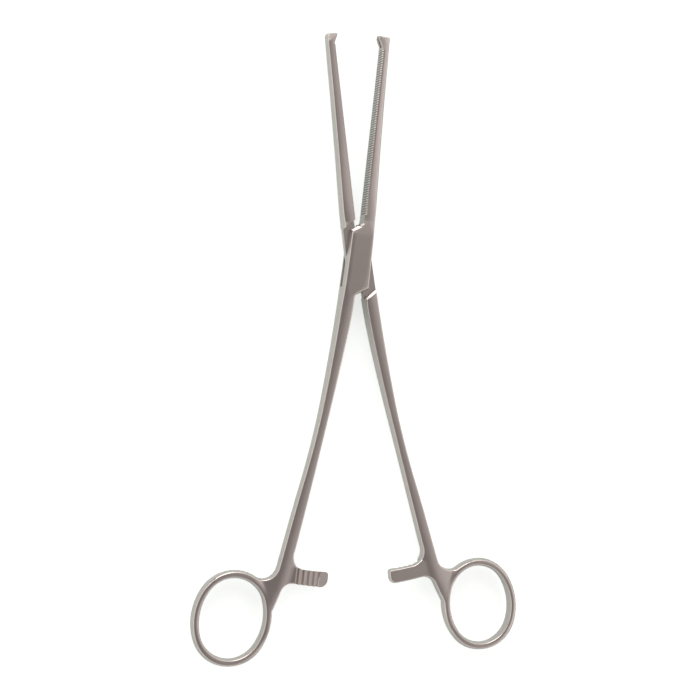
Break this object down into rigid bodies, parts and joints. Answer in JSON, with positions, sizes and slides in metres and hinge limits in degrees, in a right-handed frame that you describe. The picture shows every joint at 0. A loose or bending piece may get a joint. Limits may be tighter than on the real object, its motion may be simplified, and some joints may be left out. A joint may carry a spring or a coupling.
{
  "type": "hemostatic forceps",
  "caption": "Box-lock hemostatic forceps with serrated toothed jaws, finger rings and a ratchet, lying open on its back face.",
  "frame": {"origin": "on the pivot axis, in the plane of the lock's back face, which the part rests on", "axes": "+Y towards the jaw tips along the middle of the opening, +Z out of the front face along the pivot"},
  "size_m": [0.1086, 0.196, 0.006],
  "materials": {
    "steel": "satin ground stainless steel"
  },
  "bodies": {
    "female": {"female_half": "steel", "box_lock_pin": "steel"},
    "male": {"male_half": "steel"}
  },
  "joints": [
    {"name": "box_lock_hinge", "type": "hinge", "parent": "female", "child": "male", "pos_m": [0, 0, 0.003], "axis": [0, 0, 1], "range_deg": [-13.4, 46.6]}
  ]
}
